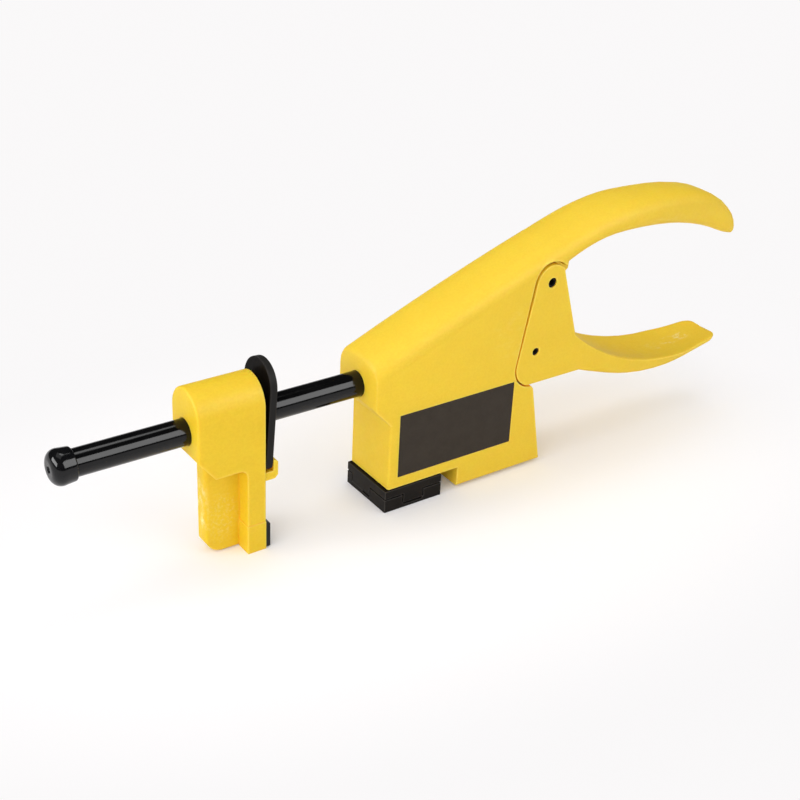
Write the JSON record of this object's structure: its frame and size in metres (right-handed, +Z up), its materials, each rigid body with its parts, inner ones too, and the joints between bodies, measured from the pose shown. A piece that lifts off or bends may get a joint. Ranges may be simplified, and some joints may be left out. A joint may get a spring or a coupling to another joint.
{
  "type": "framing point driver",
  "caption": "Squeeze tool that presses framing points into a picture frame: handle and lever draw a rod whose sliding jaw clamps the frame against a turning square head.",
  "frame": {"origin": "middle of the overall length and width, on the plane the tool stands on", "axes": "+X along the clamp rod from its capped end to the handle's tip, +Y across the tool, +Z up"},
  "size_m": [0.2952, 0.0254, 0.1004],
  "materials": {
    "yellow_plastic": "warm yellow moulded plastic with a fine satin skin",
    "label_film": "dark brown-black printed film, bare",
    "black_rod": "gloss black coated steel",
    "black_vinyl": "gloss black dipped vinyl",
    "plate_steel": "satin dark steel",
    "head_black": "satin black",
    "pad_rubber": "matt black",
    "pin_black": "blackened spring steel",
    "spring_steel": "bright spring steel",
    "brass": "turned brass"
  },
  "bodies": {
    "frame": {"housing": "yellow_plastic", "side_label": "label_film", "rod_guide_bush": "brass", "head_insert": "brass", "head_screw": "spring_steel", "head_spring_washer": "spring_steel", "return_spring": "spring_steel"},
    "lever": {"squeeze_lever": "yellow_plastic", "pivot_pin": "pin_black", "drive_pin": "pin_black"},
    "rod": {"clamp_rod": "black_rod", "rod_end_cap": "black_vinyl", "retaining_ring": "pin_black", "spring_washer": "spring_steel"},
    "clutch": {"lock_spring": "spring_steel"},
    "jaw": {"clamp_jaw": "yellow_plastic", "jaw_pad": "pad_rubber"},
    "plate": {"lock_plate": "plate_steel"},
    "head": {"head_block": "head_black", "head_plate": "head_black"}
  },
  "joints": [
    {"name": "lever_swing", "type": "hinge", "parent": "frame", "child": "lever", "pos_m": [0.04513, 0, 0.0772], "axis": [0, -1, 0], "range_deg": [0, 22], "stiffness_Nm_per_rad": 1, "springref_deg": -5.73, "deforming": ["return_spring"]},
    {"name": "rod_draw", "type": "slide", "parent": "frame", "child": "rod", "axis": [1, 0, 0], "range_m": [0, 0.0106]},
    {"name": "jaw_slide", "type": "slide", "parent": "rod", "child": "clutch", "axis": [1, 0, 0], "range_m": [-0.039, 0.025]},
    {"name": "jaw_swivel", "type": "hinge", "parent": "clutch", "child": "jaw", "pos_m": [-0.08647, 0, 0.05], "axis": [1, 0, 0], "continuous": true},
    {"name": "plate_tilt", "type": "hinge", "parent": "jaw", "child": "plate", "pos_m": [-0.07422, 0, 0.031], "axis": [0, -1, 0], "range_deg": [0, 3.2], "stiffness_Nm_per_rad": 0.05, "springref_deg": -11.46, "deforming": ["lock_spring"]},
    {"name": "head_turn", "type": "hinge", "parent": "frame", "child": "head", "pos_m": [-0.01347, 0, 0.0045], "axis": [0, 0, 1], "continuous": true}
  ],
  "couplings": [
    {"joint": "rod_draw", "follows": "lever_swing", "m_per_rad": 0.027485}
  ]
}
